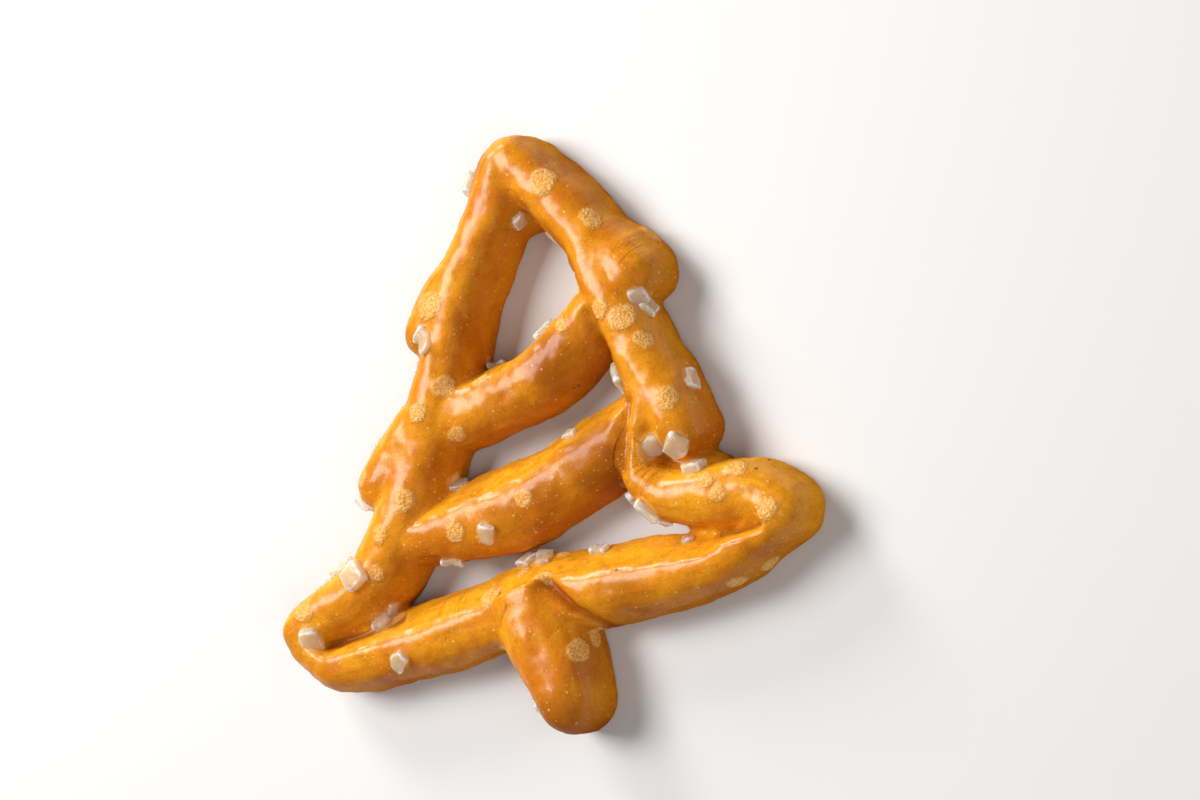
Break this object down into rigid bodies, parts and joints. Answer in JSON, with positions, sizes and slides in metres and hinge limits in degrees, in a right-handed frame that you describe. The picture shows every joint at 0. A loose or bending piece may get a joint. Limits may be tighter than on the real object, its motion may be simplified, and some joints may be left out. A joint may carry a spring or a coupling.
{
  "type": "tree-shaped pretzel",
  "caption": "Crisp salted snack pretzel in the shape of a fir tree, lying flat with its glossy face up and open between its bars.",
  "frame": {"origin": "middle of the flat back, at the height of the surface it lies on", "axes": "+Y up the tree from trunk to tip, +X to the right of the tree seen from its shown face, +Z out of the shown face"},
  "size_m": [0.048, 0.0468, 0.0068],
  "materials": {
    "crust": "glossy",
    "salt": "translucent"
  },
  "bodies": {
    "root": {"pretzel": "crust"}
  },
  "joints": []
}
